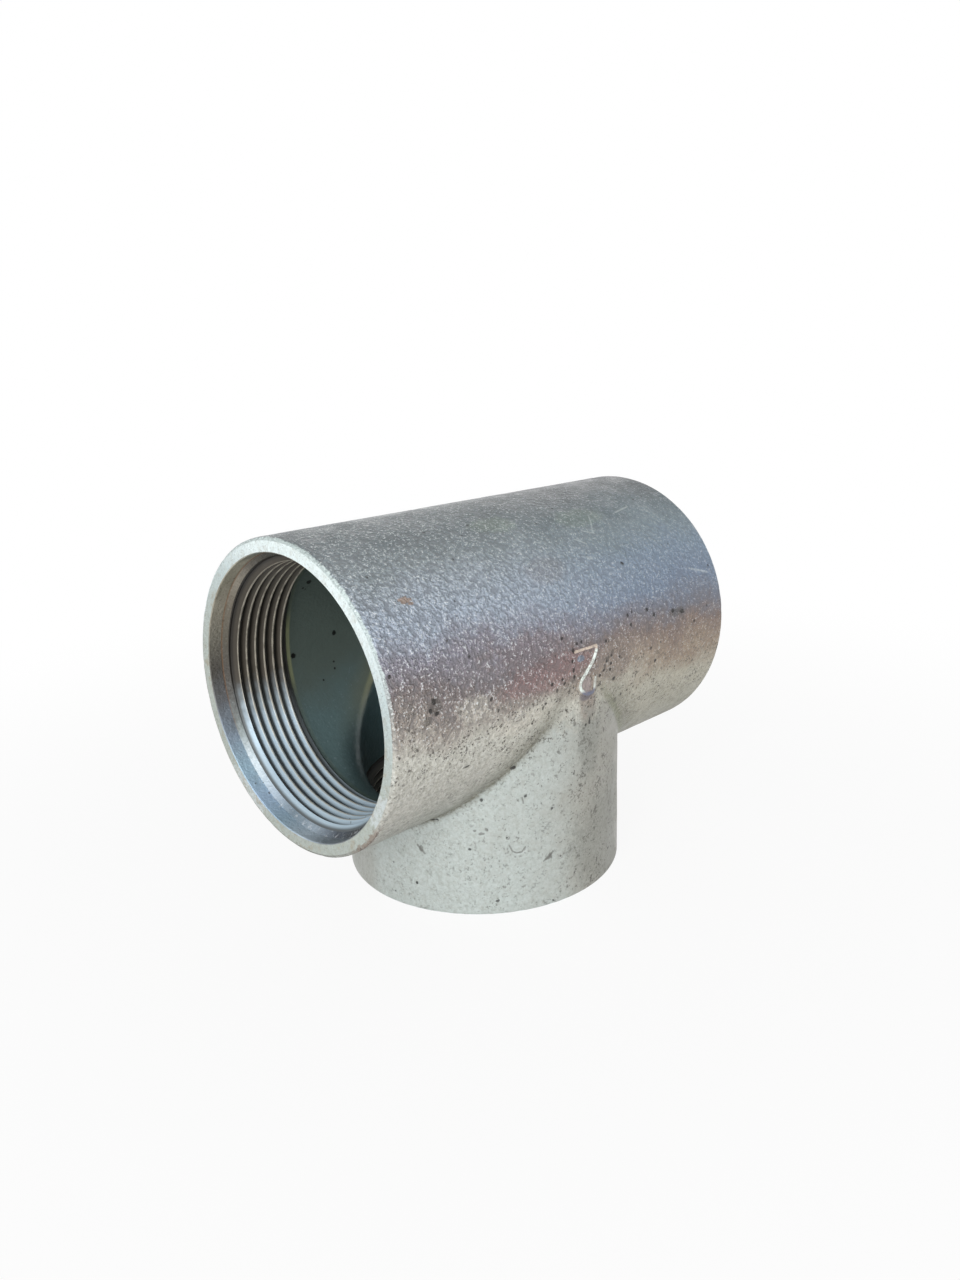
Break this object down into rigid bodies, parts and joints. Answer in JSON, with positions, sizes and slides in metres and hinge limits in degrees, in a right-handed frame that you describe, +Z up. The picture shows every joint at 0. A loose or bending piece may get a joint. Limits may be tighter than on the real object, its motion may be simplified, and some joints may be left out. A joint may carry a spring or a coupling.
{
  "type": "threaded pipe tee",
  "caption": "Galvanised cast pipe tee with a straight run, an equal branch at right angles and a female pipe thread in each of its three ends.",
  "frame": {"origin": "centre of the branch end face, which the tee stands on", "axes": "+X along the run, +Z up from the branch end face along the branch axis, so -Y faces the viewer's side"},
  "size_m": [0.11, 0.0686, 0.0889],
  "materials": {
    "galvanised_casting": "hot-dip galvanised, pebbly and dull, with pits and a little rust"
  },
  "bodies": {
    "root": {"tee_body": "galvanised_casting"}
  },
  "joints": []
}
